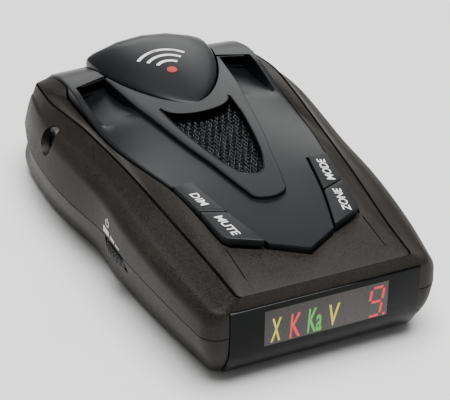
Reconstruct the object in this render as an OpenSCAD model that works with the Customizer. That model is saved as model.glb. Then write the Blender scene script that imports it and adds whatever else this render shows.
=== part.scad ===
// Dash-top radar detector: two-part shell, inlaid deck with four keys, display window at the
// -Y end, horn antenna at the +Y (road) end. +X is right as seen from the display, +Z is up,
// and the origin is at the middle of the foot print, on the surface it stands on.

/* [Overall size] */
// Widest part of the body, at the parting line
body_w = 70; // [70:0.5:73]
// Length from the display end to the road end
body_l = 111; // [111:0.5:113]
// Height of the release button's crown
body_h = 32; // [31.5:0.1:33]

/* [Shell] */
// Wall thickness of both housings
wall = 2; // [1.6:0.1:2.2]
// Height of the parting line
part_z = 12.5; // [12.4:0.1:12.8]
// Gap between the two housings at the parting line
part_gap = 0.2; // [0.1:0.05:0.4]
// Gap around the keys and the release button
key_gap = 0.35; // [0.3:0.05:0.45]

/* [Deck] */
// Height of the deck's spine line at the front plate
deck_top = 28.6; // [28.4:0.1:28.8]
// How far the keys and the spine stand above the deck
raise = 0.8; // [0.6:0.1:1]
// Thickness of the deck moulding
deck_t = 1.8; // [1.6:0.1:2]
// Height of each bracket slot
slot_h = 2; // [1.8:0.1:2.1]
// Width of each bracket slot
slot_w = 5.5; // [5:0.1:5.6]
// Depth of each bracket slot behind the front plate's wall
slot_l = 9; // [8:0.5:10]

/* [Moving parts] */
// Travel of a key
key_travel = 0.5; // [0.3:0.1:0.6]
// Travel of the release button
release_travel = 1.4; // [1.4:0.1:1.6]
// Radius of the volume thumbwheel
wheel_r = 10; // [9.8:0.1:10.1]
// Thickness of the volume thumbwheel
wheel_t = 2.4; // [2:0.1:2.5]
// Number of finger ridges round the thumbwheel
wheel_ridges = 48; // [36:1:60]

/* [Power jack] */
// Radius of the jack's bore, for a 3.5 mm plug
jack_r = 1.8; // [1.78:0.01:1.85]
// Radius of the hole in the side wall
jack_hole_r = 3.25; // [3.1:0.05:3.4]
// Height of the jack's axis
jack_z = 19.4; // [19:0.1:19.4]
// Place of the jack along the body
jack_y = 24.5; // [24:0.1:25]

/* [Hidden] */
$fn = 40;

shell_black = "#2b2d2e";
deck_black = "#25282c";
board_green = "#1f5a36";
steel = "#b8bcc0";

// ---- outlines: [y, half-width] points, display end first, with a smooth curve through them ----
foot_w = [[-50, 24], [-30, 27.1], [-12, 29], [2, 29.3], [15, 31.4], [27, 32.5], [40, 32.2], [55, 30.5]];
waist_w = [[-55.5, 26.8], [-43, 28.7], [-20, 31.1], [-7, 31.5], [8, 34], [20, 35], [34, 34.4], [44, 32.2],
    [55.5, 28.8]];
side_w = [[-55.5, 26.9], [-39, 30], [-20, 31.6], [-8, 31.6], [6, 32.4], [20, 33.4], [34, 32.9], [44, 31.2],
    [55, 28]];
shoulder_w = [[-55, 25], [-38, 26.7], [-20, 28], [-4, 28], [8, 29], [21, 31.4], [33, 31.5], [44, 30], [54, 27.4]];
groove_w = [[-54.7, 20], [-42, 20.8], [-25, 22.5], [-5, 24.3], [15, 26.5], [32, 28.4], [46, 27.6], [53, 26.4]];
deck_w = [[-39.5, 16], [-28.4, 17.1], [-17, 18.9], [-10, 20.4], [-1, 22], [10, 23.4], [24, 24.3], [48, 24.5]];
spine_w = [[-27, 4.2], [-21, 5.7], [-12, 7.6], [-5, 9.3], [3, 10.8], [10, 12], [18, 13.5], [33, 15.2]];
grille_w = [[-18, 3.1], [-13, 5], [-7, 6.4], [-1, 7.5], [5, 8.4], [13, 9]];
key_in = [[-43, 7.9], [-30.5, 11.45], [-19, 13.8], [-17.5, 14.1]];

y_disp = -body_l / 2;
y_road = body_l / 2;
bow_disp = 0.15;
bow_road = 0.8;
y_step = 33;
v_tip = -47.3;
v_in = [7.8, -42.8];
v_out = [16, -39.6];
road_edge = 49;

function clamp01(t) = max(0, min(1, t));
function smooth(t) = let (c = clamp01(t)) c * c * (3 - 2 * c);
function mix(a, b, t) = a + (b - a) * t;
function seg(p, y, i = 0) = i >= len(p) - 2 || y < p[i + 1][0] ? i : seg(p, y, i + 1);
function tangent(p, i) =
    let (a = max(0, i - 1), b = min(len(p) - 1, i + 1)) (p[b][1] - p[a][1]) / (p[b][0] - p[a][0]);
// Height of a smooth curve through the points p, at y
function curve(p, y) =
    let (i = seg(p, y), h = p[i + 1][0] - p[i][0], t = clamp01((y - p[i][0]) / h), s = 1 - t)
    s * s * (1 + 2 * t) * p[i][1] + t * t * (3 - 2 * t) * p[i + 1][1]
    + t * s * h * (s * tangent(p, i) - t * tangent(p, i + 1));

// ---- heights of the top, as functions of place ----
// Centre line of the deck: rises to the front plate, then falls to the road end
function top_z(y) = y < 34 ? deck_top - 3.8 * pow((34 - y) / 77, 2) : deck_top - 0.02 * pow(y - 34, 2);
// How much lower the deck's edge is than its middle
function crown(y) = y > y_step ? 0.6 : 2.9 * smooth((y + 22) / 34);
// How deep the bracket's run-in lies below the deck, towards the front plate
function run_in(y) = y > y_step ? 0 : 1.8 * smooth((y - 12) / 17);
// The deck at a share f of its half-width; the outer rail (f > 0.91) keeps its height
function deck_z(f, y) =
    top_z(y) - (y > y_step ? 0.1 : raise / 2) - crown(y) * f * f
    + (f > 0.91 ? 0.45 * run_in(y) : f > 0.55 ? -run_in(y) : 0);
function deck_under(f, y) = y > y_step ? top_z(y) - 4.4 : deck_z(min(f, 0.9), y) - deck_t;
// Heights of the edges that run along the flank, as [y, z]
side_z = [[-55, 16.4], [-20, 19.2], [10, 20.4], [30, 19], [46, 17.4], [55, 14.8]];
shoulder_z = [[-55, 18.4], [-38, 19.8], [-20, 21.2], [0, 22.3], [12, 22.4], [24, 21.8], [34, 21.1], [44, 20.5], [54, 17.6]];
groove_z = [[-54.7, 21.4], [-42, 22.3], [-25, 23.9], [-5, 25.2], [15, 25.6], [26, 25], [36, 23.8], [46, 22.6], [53, 20.8]];
function apron_z(y) = 21.7 + 0.126 * (y + 54.7);
function strip_z(y) = min(apron_z(y), deck_z(1, y) - 0.3);
function key_z(y) = top_z(y) + 0.2;
function spine_z(y) = top_z(y) + raise / 2;

// ---- plan loops: each runs from the display end's middle round the +X side and back ----
function both_sides(right) =
    concat(right, [for (i = [len(right) - 2 : -1 : 1]) [-right[i][0], right[i][1], right[i][2]]]);
function grown(w, y, d) = (curve(w, y) + d) * body_w / 70;
// Stations along one side: end face, corner, flank, corner, end face, as [x, y]
function side_run(w, y0, y1, r0, r1, d = 0) = let (a0 = y0 + bow_disp, a1 = y1 - bow_road) concat(
    [for (k = [0 : 2]) [(grown(w, a0, d) - r0) * k / 3, y0 + bow_disp * k * k / 9]],
    [for (a = [0 : 30 : 90]) let (y = a0 + r0 * (1 - cos(a))) [grown(w, y, d) - r0 * (1 - sin(a)), y]],
    [for (k = [1 : 11]) let (y = mix(a0 + r0, a1 - r1, k / 12)) [grown(w, y, d), y]],
    [for (a = [90 : -30 : 0]) let (y = a1 - r1 * (1 - cos(a))) [grown(w, y, d) - r1 * (1 - sin(a)), y]],
    [for (k = [2 : -1 : 0]) [(grown(w, a1, d) - r1) * k / 3, y1 - bow_road * k * k / 9]]);
// A ring at the height that the function z gives for each y
function loop(run, z) = both_sides([for (p = run) [p[0], p[1], z(p[1])]]);
function level(h) = function(y) h;
// The height of an edge curve, moved by d
function along(p, d = 0) = function(y) curve(p, y) + d;
function scaled_x(run, f) = [for (p = run) [p[0] * f, p[1]]];

// Outline of the deck with the pointed display-side edge, grown by d, as [x, y]
deck_ys = [-34, -28.4, -22, -17, -10, -1, 6, 13, 20, 26, 31, 32.9, 33.1, 40];
function deck_run(d = 0) = concat(
    [[0, v_tip - d], [v_in[0] / 2, (v_tip + v_in[1]) / 2 - d], [v_in[0], v_in[1] - d],
        [12, -41.2 - d], [v_out[0] - 1.2 + d, v_out[1] - 0.2 - d], [v_out[0] + d, -38.2]],
    [for (y = deck_ys) [curve(deck_w, y) + d, y]],
    [[24.4 + d, 46], [23.4 + d, 47.8 + d], [16, 48.4 + d], [8, 48.8 + d], [0, road_edge + d]]);

// ---- solids from rings ----
// Faces between m rings of n points, each ring above the one before on the outside
function band(n, m) = [for (i = [0 : m - 2], j = [0 : n - 1])
    let (a = i * n + j, b = i * n + (j + 1) % n)
    each j < n / 2 ? [[a, a + n, b + n], [a, b + n, b]] : [[a, a + n, b], [b, a + n, b + n]]];
// A lid across a mirrored ring that starts at point s; up is true where it faces +Z
function lid(n, s, up) = [for (j = [0 : n / 2 - 1])
    let (a = s + j, b = s + j + 1, c = s + n - j - 1, d = s + (n - j) % n)
    each concat(j > 0 ? [up ? [a, d, c] : [a, c, d]] : [], b != c ? [up ? [a, c, b] : [a, b, c]] : [])];
module skin(rings) {
    n = len(rings[0]);
    m = len(rings);
    polyhedron([for (r = rings) each r], concat(band(n, m), lid(n, 0, false), lid(n, (m - 1) * n, true)));
}
// A closed wall: the last ring joins the first
module tube_skin(rings) {
    n = len(rings[0]);
    m = len(rings);
    polyhedron([for (r = concat(rings, [rings[0]])) each r], band(n, m + 1));
}
// A straight prism on a mirrored outline
module plan_prism(run, z0, z1)
    translate([0, 0, z0]) linear_extrude(z1 - z0) polygon([for (p = loop(run, level(0))) [p[0], p[1]]]);
module both() {
    children();
    mirror([1, 0, 0]) children();
}
module corners(p) for (x = [-1, 1], q = p) translate([x * q[0], q[1], 0]) children();
module box(lo, hi) translate(lo) cube(hi - lo);

// ---- places shared by several pieces ----
boss_at = [[20.4, -43], [25.6, 41]];
standoff_at = [[24, -31], [24, 33]];
board_z = part_z - 0.1;
board_t = 1.6;
board_top = board_z + board_t;
lens_half = 22;
lens_top = 18.5;
lens_low = 1.6;
wheel_at = [-22.2, -14];
wheel_z = 9.4;
speaker_at = [0, -3.5];
slot_in = 15.3;
slot_z = 25.3;
latch_y = 38;
shield_top = 19.4;
switch_h = 4.4;
key_spots = [[14.4, -23.5], [12.6, -35.5]];

// ---- housings ----
module lower_housing() {
    rim = part_z - part_gap / 2;
    color(shell_black) difference() {
        union() {
            skin([loop(side_run(foot_w, y_disp + 6.2, y_road - 4, 2, 9, -1.2), level(0)),
                loop(side_run(foot_w, y_disp + 4.6, y_road - 2.6, 2, 9), level(1.2)),
                loop(side_run(foot_w, y_disp + 2, y_road - 1.2, 2.5, 9, 0.9), level(4.2)),
                loop(side_run(waist_w, y_disp + 0.3, y_road - 0.4, 3, 8.5, -0.9), level(8)),
                loop(side_run(waist_w, y_disp, y_road, 3.6, 8), level(rim)),
                loop(side_run(waist_w, y_disp + wall, y_road - wall, 2.4, 6.5, -wall), level(rim)),
                loop(side_run(waist_w, y_disp + wall + 0.3, y_road - wall - 0.4, 2.4, 6.5, -wall - 0.9),
                    level(8)),
                loop(side_run(foot_w, y_disp + wall + 5.2, y_road - wall - 2.6, 2.4, 7, -wall),
                    level(wall))]);
            corners(boss_at) translate([0, 0, 1]) cylinder(r = 2.9, h = rim - 1);
            corners(standoff_at) translate([0, 0, 1]) cylinder(r = 2.3, h = board_z - 1);
        }
        box([-lens_half - 0.15, y_disp - 1, lens_low - 0.15], [lens_half + 0.15, y_disp + 9, part_z + 1]);
        corners(boss_at) {
            translate([0, 0, -1]) cylinder(r = 1.5, h = part_z + 2);
            translate([0, 0, -1]) cylinder(r = 2.5, h = 3.4);
        }
        corners(standoff_at) translate([0, 0, 5]) cylinder(r = 1.05, h = 10);
        translate([wheel_at[0], wheel_at[1], wheel_z - 0.4]) cylinder(r = wheel_r + 0.4, h = part_z, $fn = 60);
        box([-16.2, -16.2, -1], [16.2, 20.2, 0.4]);
    }
}

module upper_housing() {
    lo = part_z + part_gap / 2;
    open = deck_run(0.25);
    ledge = deck_run(-1.6);
    under = function(y) deck_under(1, y) - 0.05;
    color(shell_black) difference() {
        union() {
            tube_skin([loop(side_run(waist_w, y_disp, y_road, 3.6, 8), level(lo)),
                loop(side_run(side_w, y_disp, y_road - 0.5, 3.6, 7.5), along(side_z)),
                loop(side_run(shoulder_w, y_disp + 0.2, y_road - 1.6, 3.4, 6.5), along(shoulder_z)),
                loop(side_run(groove_w, y_disp + 0.8, y_road - 2.8, 1.2, 4.5), along(groove_z)),
                loop(open, function(y) strip_z(y)),
                loop(open, under),
                loop(ledge, under),
                loop(ledge, function(y) under(y) - 1.2),
                loop(side_run(shoulder_w, y_disp + wall + 0.4, y_road - 4, 2.4, 5.5, -1.6), along(shoulder_z, -2.1)),
                loop(side_run(side_w, y_disp + wall, y_road - wall - 0.7, 2.4, 6.5, -wall), along(side_z, -1)),
                loop(side_run(waist_w, y_disp + wall, y_road - wall, 2.4, 6.5, -wall), level(lo))]);
            corners(boss_at) translate([0, 0, lo]) cylinder(r = 2.9, h = 20.5 - lo);
        }
        box([-lens_half - 0.15, y_disp - 1, lo - 1], [lens_half + 0.15, y_disp + 4.5, lens_top + 0.15]);
        box([-10.2, y_road - 6, lo + 1.1], [10.2, y_road + 1, lo + 4.5]);
        corners(boss_at) translate([0, 0, lo - 1]) cylinder(r = 1.3, h = 5.4);
        translate([-40, jack_y, jack_z]) rotate([0, 90, 0]) cylinder(r = jack_hole_r, h = 12);
        box([-28.6, jack_y - 4.3, lo - 1], [-16, jack_y + 4.3, jack_z + 3.2]);
    }
}

// ---- deck ----
// The release button's outline: a rounded tip towards the display and a nearly straight road edge
function dome_w(y) = 15.5 * pow(sin(90 * clamp01((y - 13) / 31)), 0.6);
function dome_run(d = 0) = concat([[0, 13 - d]],
    [for (a = [12 : 13 : 90]) let (y = 13 + 31 * (1 - cos(a))) [dome_w(y) + d, y - d * cos(a)]],
    [[15.5 + d, 44.5], [14.9 + d, 46 + d * 0.7], [13.6, 46.6 + d], [7, 46.9 + d], [0, 47 + d]]);
// The grille's opening: two road-side horns, a hollow road edge and a rounded tip
function grille_run(d = 0) = concat([[0, -20.2 - d], [1.8 + d / 2, -19.6 - d]],
    [for (y = [-18 : 6.2 : 13]) [curve(grille_w, y) + d, y]],
    [[8.4 + d, 13.4 + d], [6, 10.2 + d], [3, 8.8 + d], [0, 8.4 + d]]);
// Outline of the raised spine, with a slightly bowed end at the front plate
function spine_run(d = 0) = concat([[0, -29 - d], [2.4, -28.6 - d]],
    [for (y = [-27, -24, -21, -16, -10, -4, 3, 10, 18, 26, y_step - 0.5]) [curve(spine_w, y) + d, y]],
    [[0, y_step - 0.25]]);
// The keys on one side: the inner edge leans in towards the display end
function key_area(y0, y1, d) = let (steps = 10) concat([[key_in[0][1] - d, y_disp]],
    [for (k = [0 : steps]) let (y = mix(y0, y1, k / steps)) [curve(key_in, y) - d, y]],
    [[body_w, y1], [body_w, y_disp]]);

module deck_panel() {
    f_cols = [0.25, 0.57, 0.88, 0.93, 1];
    run = deck_run();
    color(deck_black) difference() {
        skin(concat(
            [for (f = f_cols) loop(scaled_x(run, f), function(y) deck_under(f, y))],
            [for (k = [4 : -1 : 0]) let (f = f_cols[k]) loop(scaled_x(run, f), function(y) deck_z(f, y))]));
        plan_prism(dome_run(key_gap), 10, 40);
        plan_prism(grille_run(), 10, 40);
        both() translate([0, 0, 10]) linear_extrude(30) polygon(key_area(key_in[0][0], -17.3, key_gap));
        both() box([slot_in, y_step - 1, slot_z], [slot_in + slot_w, y_step + slot_l, slot_z + slot_h]);
        both() box([16.5, latch_y - 1.4, 10], [19.5, latch_y + 1.4, slot_z + 0.1]);
    }
}

module spine_panel() {
    run = spine_run();
    color(deck_black) difference() {
        skin([loop(scaled_x(run, 0.5), function(y) deck_z(0, y) + 0.05 - 0.25 * spine_drop(y)),
            loop(run, function(y) deck_z(0, y) + 0.05 - spine_drop(y)),
            loop(run, function(y) spine_z(y) - 0.3 - 0.5 * spine_drop(y)),
            loop(scaled_x(run, 0.94), function(y) spine_z(y) - 0.35 * spine_drop(y)),
            loop(scaled_x(run, 0.5), function(y) spine_z(y) - 0.1 * spine_drop(y))]);
        plan_prism(dome_run(key_gap), 10, 40);
        plan_prism(grille_run(), 10, 40);
    }
}
// The crown of the deck at the spine panel's edge
function spine_drop(y) = crown(y) * pow(curve(spine_w, y) / curve(deck_w, y), 2);

module speaker_grille() {
    pitch = 2.4;
    tilt = atan((top_z(13) - top_z(-20)) / 33);
    color(steel) translate([0, 0, top_z(-3.5) - 3.4]) rotate([tilt, 0, 0]) linear_extrude(0.4) difference() {
        polygon([for (p = loop(grille_run(1.4), level(0))) [p[0], p[1]]]);
        for (i = [-8 : 6], j = [-4 : 4]) let (x = (j + (abs(i) % 2) / 2) * pitch, y = i * pitch * 0.866)
            if (abs(x) < curve(grille_w, y) - 0.8 && y < 8.2 + abs(x) / 3) translate([x, y]) circle(0.85);
    }
}

// ---- release button ----
module release_button() {
    run = dome_run();
    rise = body_h - top_z(13);
    top = function(x, y) top_z(13) + rise * sin(90 * clamp01((y - 13) / 28)) - 3.6 * pow(x / 15.5, 2)
        - 1.2 * pow(clamp01((y - 41) / 6), 2);
    color(deck_black) difference() {
        skin([loop(run, level(25.2)),
            both_sides([for (p = run) [p[0], p[1], max(top_z(p[1]) - 0.6, top(p[0], p[1]) - 1.2)]]),
            for (f = [0.96, 0.85, 0.65, 0.45, 0.22]) both_sides([for (p = run)
                let (x = p[0] * f, y = mix(38, p[1], f)) [x, y, top(x, y)]])]);
        translate([0, 33, 20]) cylinder(r = 10.5, h = 6.8);
    }
}
module release_latch() {
    color("#3a3c3e") union() {
        box([-20.4, latch_y - 1.8, 21.4], [20.4, latch_y + 1.8, 23.3]);
        both() box([16.9, latch_y - 1, 22], [19.1, latch_y + 1, slot_z + release_travel - 0.1]);
        translate([0, latch_y, 22]) cylinder(r = 2.6, h = 4.8);
    }
}
// Compression spring between the screening can and the release button
module release_spring() {
    turns = 4;
    wire = 0.3;
    coil_r = 3;
    z0 = shield_top + wire + 0.05;
    z1 = 26.75 - wire;
    per_turn = 14;
    n = turns * per_turn;
    pts = [for (i = [0 : n], k = [0 : 5])
        let (a = 360 * i / per_turn, b = 60 * k, r = coil_r + wire * cos(b))
        [r * cos(a), 26 + r * sin(a), mix(z0, z1, i / n) + wire * sin(b)]];
    faces = [for (i = [0 : n - 1], k = [0 : 5]) let (a = i * 6 + k, b = i * 6 + (k + 1) % 6)
        each [[a, b, b + 6], [a, b + 6, a + 6]]];
    color(steel) polyhedron(pts, concat(faces, [[5, 4, 3, 2, 1, 0], [for (k = [0 : 5]) n * 6 + k]]));
}

// ---- keys ----
// A key cap between y0 and y1, with a stem down to its switch
module key_cap(y0, y1, spot) {
    gap = 0.15;
    slant0 = y0 < -40 ? 3.4 : 2.1;
    slant1 = y1 > -20 ? 0 : 2.1;
    edge = function(y) curve(deck_w, y) - (y < -37 ? 1.2 * pow((-37 - y) / 2.5, 2) : 0);
    steps = 5;
    inner = [for (k = [0 : steps]) let (y = mix(y0 + gap, y1 - gap, k / steps)) [curve(key_in, y), y]];
    outer = [for (k = [steps : -1 : 0]) let (y = mix(y0 + gap + slant0, y1 - gap + slant1, k / steps))
        [edge(y), y]];
    plan = concat(inner, outer);
    n = len(plan);
    color(deck_black) {
        polyhedron(concat([for (p = plan) [p[0], p[1], key_z(p[1]) - 1.6]],
                [for (p = plan) [p[0], p[1], key_z(p[1])]]),
            concat([[for (k = [n - 1 : -1 : 0]) k]], [[for (k = [0 : n - 1]) n + k]],
                [for (k = [0 : n - 1]) [k, (k + 1) % n, (k + 1) % n + n, k + n]]));
        translate([spot[0], spot[1], board_top + switch_h + 0.05])
            cylinder(r = 1.3, h = key_z(spot[1]) - 1.2 - board_top - switch_h);
    }
}
module road_key() key_cap(-30.5, -17.6, key_spots[0]);
module near_key() key_cap(-42.7, -30.5, key_spots[1]);
module dim_button() mirror([1, 0, 0]) road_key();
module mute_button() mirror([1, 0, 0]) near_key();
module mode_button() road_key();
module zone_button() near_key();

// ---- display end ----
module display_lens() {
    t = 1.8;
    h = lens_top;
    outline = [[0.2, h], [0, h - 0.4], [0, 9], [0.4, 6.6], [1.5, 4.2], [3.6, lens_low],
        [3.6 + t, lens_low], [1.5 + t, 4.9], [0.4 + t, 7], [t, 9], [t, h]];
    color("#2d3033") translate([-lens_half, y_disp, 0]) rotate([90, 0, 90])
        linear_extrude(2 * lens_half) polygon(outline);
}
module display_module() {
    color("#4a4642") difference() {
        box([-14.3, y_disp + 2, 8.5], [14.3, y_disp + 6.4, 17.1]);
        for (k = [0 : 4]) translate([-11.6 + k * 4.8 + (k == 4 ? 4.3 : 0), y_disp + 1, 12]) rotate([-90, 0, 0])
            cylinder(r = 1.5, h = 3);
    }
}
module display_board() color(board_green) box([-17, y_disp + 6.45, 4.5], [17, y_disp + 7.45, 17.6]);

// ---- road end ----
module laser_window() {
    lo = part_z + part_gap / 2 + 1.25;
    color("#3a1b1c") translate([-10, y_road, 0]) rotate([90, 0, 90]) linear_extrude(20)
        polygon([[-0.75, lo], [-1.9, lo + 3.1], [-3.9, lo + 3.1], [-2.75, lo]]);
}
module laser_sensor() color("#5b5560") union() {
    box([-4, y_road - 10.9, board_top + 0.05], [4, y_road - 7.9, board_top + 4]);
    for (x = [-2, 2]) translate([x, y_road - 8, board_top + 2.2]) rotate([-90, 0, 0]) cylinder(r = 1.6, h = 1.4);
}

// ---- electronics ----
module main_board() {
    color(board_green) difference() {
        translate([0, 0, board_z]) linear_extrude(board_t) polygon([[-17, -46], [17, -46], [17, -38], [26, -36],
            [27, 35.5], [19, 37], [19, 50], [-19, 50], [-19, 37], [-27, 35.5], [-26, -36], [-17, -38]]);
        corners(standoff_at) translate([0, 0, board_z - 1]) cylinder(r = 1.3, h = 4);
    }
}
// Four-sided flare between two rectangles, each [half-width, y, low z, high z]
module flare(a, b) polyhedron(
    [for (q = [a, b]) each [[-q[0], q[1], q[2]], [q[0], q[1], q[2]], [q[0], q[1], q[3]], [-q[0], q[1], q[3]]]],
    [[3, 2, 1, 0], [4, 5, 6, 7], [1, 5, 4, 0], [2, 6, 5, 1], [3, 7, 6, 2], [0, 4, 7, 3]]);
module horn_antenna() {
    color("#9a9da0") difference() {
        union() {
            flare([7, 24, 3.2, 11.6], [17, 49.5, 2.4, 12]);
            box([-9, 6, 3], [9, 24.1, 11.8]);
            both() box([8.9, 12, 3], [13, 17, 5]);
        }
        flare([4.5, 22, 4.8, 10.2], [15.9, 49.6, 3.4, 11]);
        box([-4.5, 14, 4.8], [4.5, 22.1, 10.2]);
    }
}
module rf_shield() {
    color(steel) difference() {
        box([-14, 17, board_top], [14, 43, shield_top]);
        box([-13.6, 17.4, board_top - 1], [13.6, 42.6, shield_top - 0.4]);
    }
}
module tact_switches() color("#26282a") both() for (p = key_spots)
    translate([p[0], p[1], board_top]) {
        translate([0, 0, 1.7]) cube([6, 6, 3.4], center = true);
        cylinder(r = 1.6, h = switch_h - key_travel - 0.1);
    }
module control_chip() {
    color("#1c1d1f") {
        box([-6, -37, board_top + 0.15], [6, -25, board_top + 1.7]);
        for (k = [-4 : 4]) box([k * 1.2 - 0.2, -38, board_top], [k * 1.2 + 0.2, -24, board_top + 0.3]);
    }
}

// ---- volume control ----
module volume_pot() {
    x = wheel_at[0];
    y = wheel_at[1];
    color("#5a4a3a") union() {
        box([x - 4.7, y - 4.7, 5.2], [x + 4.7, y + 4.7, wheel_z - 0.3]);
        translate([x, y, 5.5]) cylinder(r = 1.45, h = wheel_z + wheel_t + 0.2 - 5.5);
        box([x + 4.6, y - 3, 5.2], [x + wheel_r + 1.8, y + 3, 6.8]);
        box([x + wheel_r + 0.5, y - 3, 5.2], [x + wheel_r + 1.8, y + 3, board_z]);
    }
}
module volume_thumbwheel() {
    color("#232526") translate([wheel_at[0], wheel_at[1], wheel_z]) difference() {
        union() {
            cylinder(r = wheel_r - 0.35, h = wheel_t);
            for (k = [0 : wheel_ridges - 1]) rotate(k * 360 / wheel_ridges)
                translate([wheel_r - 0.6, -0.28, 0.15]) cube([0.6, 0.56, wheel_t - 0.3]);
        }
        translate([0, 0, -1]) cylinder(r = 1.5, h = wheel_t + 2);
    }
}

// ---- power ----
module power_jack() {
    color("#1d1e20") difference() {
        union() {
            box([-28, jack_y - 3.9, board_top], [-17, jack_y + 3.9, jack_z + 2.9]);
            translate([-31.2, jack_y, jack_z]) rotate([0, 90, 0]) cylinder(r = 3, h = 3.3);
        }
        translate([-32, jack_y, jack_z]) rotate([0, 90, 0]) cylinder(r = jack_r, h = 13);
    }
}

// ---- speaker ----
module speaker_basket() color("#3a3d40") translate([speaker_at[0], speaker_at[1], 0]) rotate_extrude()
    polygon([[7.6, 16.7], [8.4, 16.7], [11.4, 22.4], [12.5, 22.4], [12.5, 23.2], [10.8, 23.2], [8, 17.5], [7.6, 17.5]]);
module speaker_cone() color("#1b1b1c") translate([speaker_at[0], speaker_at[1], 0]) rotate_extrude()
    polygon([[0, 20], [2.2, 19.6], [3.2, 18.4], [9.8, 22.5], [10.1, 22.5], [10.1, 22.8], [9.6, 22.9], [3.3, 18.9],
        [2.4, 20.1], [0, 20.5]]);
module speaker_magnet() color(steel) translate([speaker_at[0], speaker_at[1], 0]) {
    translate([0, 0, 14.2]) cylinder(r = 6.6, h = 2.3);
    translate([0, 0, 16.4]) cylinder(r = 7.5, h = 0.9);
}
module speaker_gasket() color("#151515") translate([speaker_at[0], speaker_at[1], 0]) rotate_extrude()
    polygon([[10.9, 23.2], [12.4, 23.2], [12.4, 23.45], [10.9, 23.45]]);

// ---- fasteners and label ----
module pan_screw(r, head_r, head_h, l) {
    difference() {
        cylinder(r = head_r, h = head_h);
        for (a = [0, 90]) rotate(a) translate([-head_r * 0.6, -0.25, -1]) cube([head_r * 1.2, 0.5, 1.7]);
    }
    translate([0, 0, head_h - 0.05]) cylinder(r = r, h = l);
}
module housing_screws() color(steel) corners(boss_at) translate([0, 0, 0.75]) pan_screw(1.25, 2.35, 1.6, 13);
module board_screws() color(steel) corners(standoff_at) translate([0, 0, board_top + 1.25]) mirror([0, 0, 1])
    pan_screw(1, 1.9, 1.2, 5.5);
module label_plate() color("#c9cacb") box([-16, -16, 0.08], [16, 20, 0.38]);

lower_housing();
upper_housing();
deck_panel();
spine_panel();
speaker_grille();
release_button();
release_latch();
release_spring();
dim_button();
mute_button();
mode_button();
zone_button();
display_lens();
display_module();
display_board();
laser_window();
laser_sensor();
main_board();
horn_antenna();
rf_shield();
tact_switches();
control_chip();
volume_pot();
volume_thumbwheel();
power_jack();
speaker_basket();
speaker_cone();
speaker_magnet();
speaker_gasket();
housing_screws();
board_screws();
label_plate();
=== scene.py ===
import math

import bmesh
import bpy
from bpy.props import FloatProperty, IntProperty, PointerProperty, StringProperty
from mathutils import Matrix, Vector


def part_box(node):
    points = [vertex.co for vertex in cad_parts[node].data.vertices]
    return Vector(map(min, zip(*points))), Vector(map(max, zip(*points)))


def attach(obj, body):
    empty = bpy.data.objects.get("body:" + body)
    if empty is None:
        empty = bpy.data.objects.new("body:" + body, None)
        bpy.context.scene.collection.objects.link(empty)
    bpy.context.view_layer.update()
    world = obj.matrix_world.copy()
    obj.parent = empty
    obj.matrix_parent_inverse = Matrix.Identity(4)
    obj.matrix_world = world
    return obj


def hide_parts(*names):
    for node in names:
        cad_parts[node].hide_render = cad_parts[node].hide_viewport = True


bl_info = {
    "name": "Dash-Top Radar Detector",
    "version": (1, 0, 0),
    "blender": (4, 5, 0),
    "location": "3D View > Sidebar > Detector",
    "description": "Builds the shells, keys, display, grille and finishes of a dash-top radar detector",
    "category": "Add Mesh",
}

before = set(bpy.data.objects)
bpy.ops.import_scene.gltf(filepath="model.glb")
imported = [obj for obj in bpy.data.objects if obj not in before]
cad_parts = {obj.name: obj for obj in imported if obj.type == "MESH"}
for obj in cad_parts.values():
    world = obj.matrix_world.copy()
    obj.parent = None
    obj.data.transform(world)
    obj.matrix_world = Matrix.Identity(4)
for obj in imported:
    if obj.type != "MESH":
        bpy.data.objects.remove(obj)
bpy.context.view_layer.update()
MM = 0.001
SPLIT = 3  # fine stations in each coarse interval of an outline


def in_mm(corner):
    return [c / MM for c in corner]


UPPER_LO, UPPER_HI = (in_mm(c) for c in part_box("upper_housing"))
LOWER_HI = in_mm(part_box("lower_housing")[1])
WHEEL_LO, WHEEL_HI = (in_mm(c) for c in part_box("volume_thumbwheel"))
LENS_LO, LENS_HI = (in_mm(c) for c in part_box("display_lens"))
JACK_LO, JACK_HI = (in_mm(c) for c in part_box("power_jack"))
LASER_LO, LASER_HI = (in_mm(c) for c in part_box("laser_window"))
DOME_HI = in_mm(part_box("release_button")[1])
LABEL_LO, LABEL_HI = (in_mm(c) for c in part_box("label_plate"))

# ---- outlines in millimetres: (y, half-width) points from the display end to the road end ----
FOOT_W = [(-50, 24), (-30, 27.1), (-12, 29), (2, 29.3), (15, 31.4), (27, 32.5), (40, 32.2), (55, 30.5)]
WAIST_W = [(-55.5, 26.8), (-43, 28.7), (-20, 31.1), (-7, 31.5), (8, 34), (20, 35), (34, 34.4), (44, 32.2),
           (55.5, 28.8)]
SIDE_W = [(-55.5, 26.9), (-39, 30), (-20, 31.6), (-8, 31.6), (6, 32.4), (20, 33.4), (34, 32.9), (44, 31.2),
          (55, 28)]
SHOULDER_W = [(-55, 25), (-38, 26.7), (-20, 28), (-4, 28), (8, 29), (21, 31.4), (33, 31.5), (44, 30),
              (54, 27.4)]
GROOVE_W = [(-54.7, 20), (-42, 20.8), (-25, 22.5), (-5, 24.3), (15, 26.5), (32, 28.4), (46, 27.6), (53, 26.4)]
DECK_W = [(-39.5, 16), (-28.4, 17.1), (-17, 18.9), (-10, 20.4), (-1, 22), (10, 23.4), (24, 24.3), (48, 24.5)]
SPINE_W = [(-27, 4.2), (-21, 5.7), (-12, 7.6), (-5, 9.3), (3, 10.8), (10, 12), (18, 13.5), (33, 15.2)]
GRILLE_W = [(-18, 3.1), (-13, 5), (-7, 6.4), (-1, 7.5), (5, 8.4), (13, 9)]
KEY_IN = [(-43, 7.9), (-30.5, 11.45), (-19, 13.8), (-17.5, 14.1)]
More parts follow.
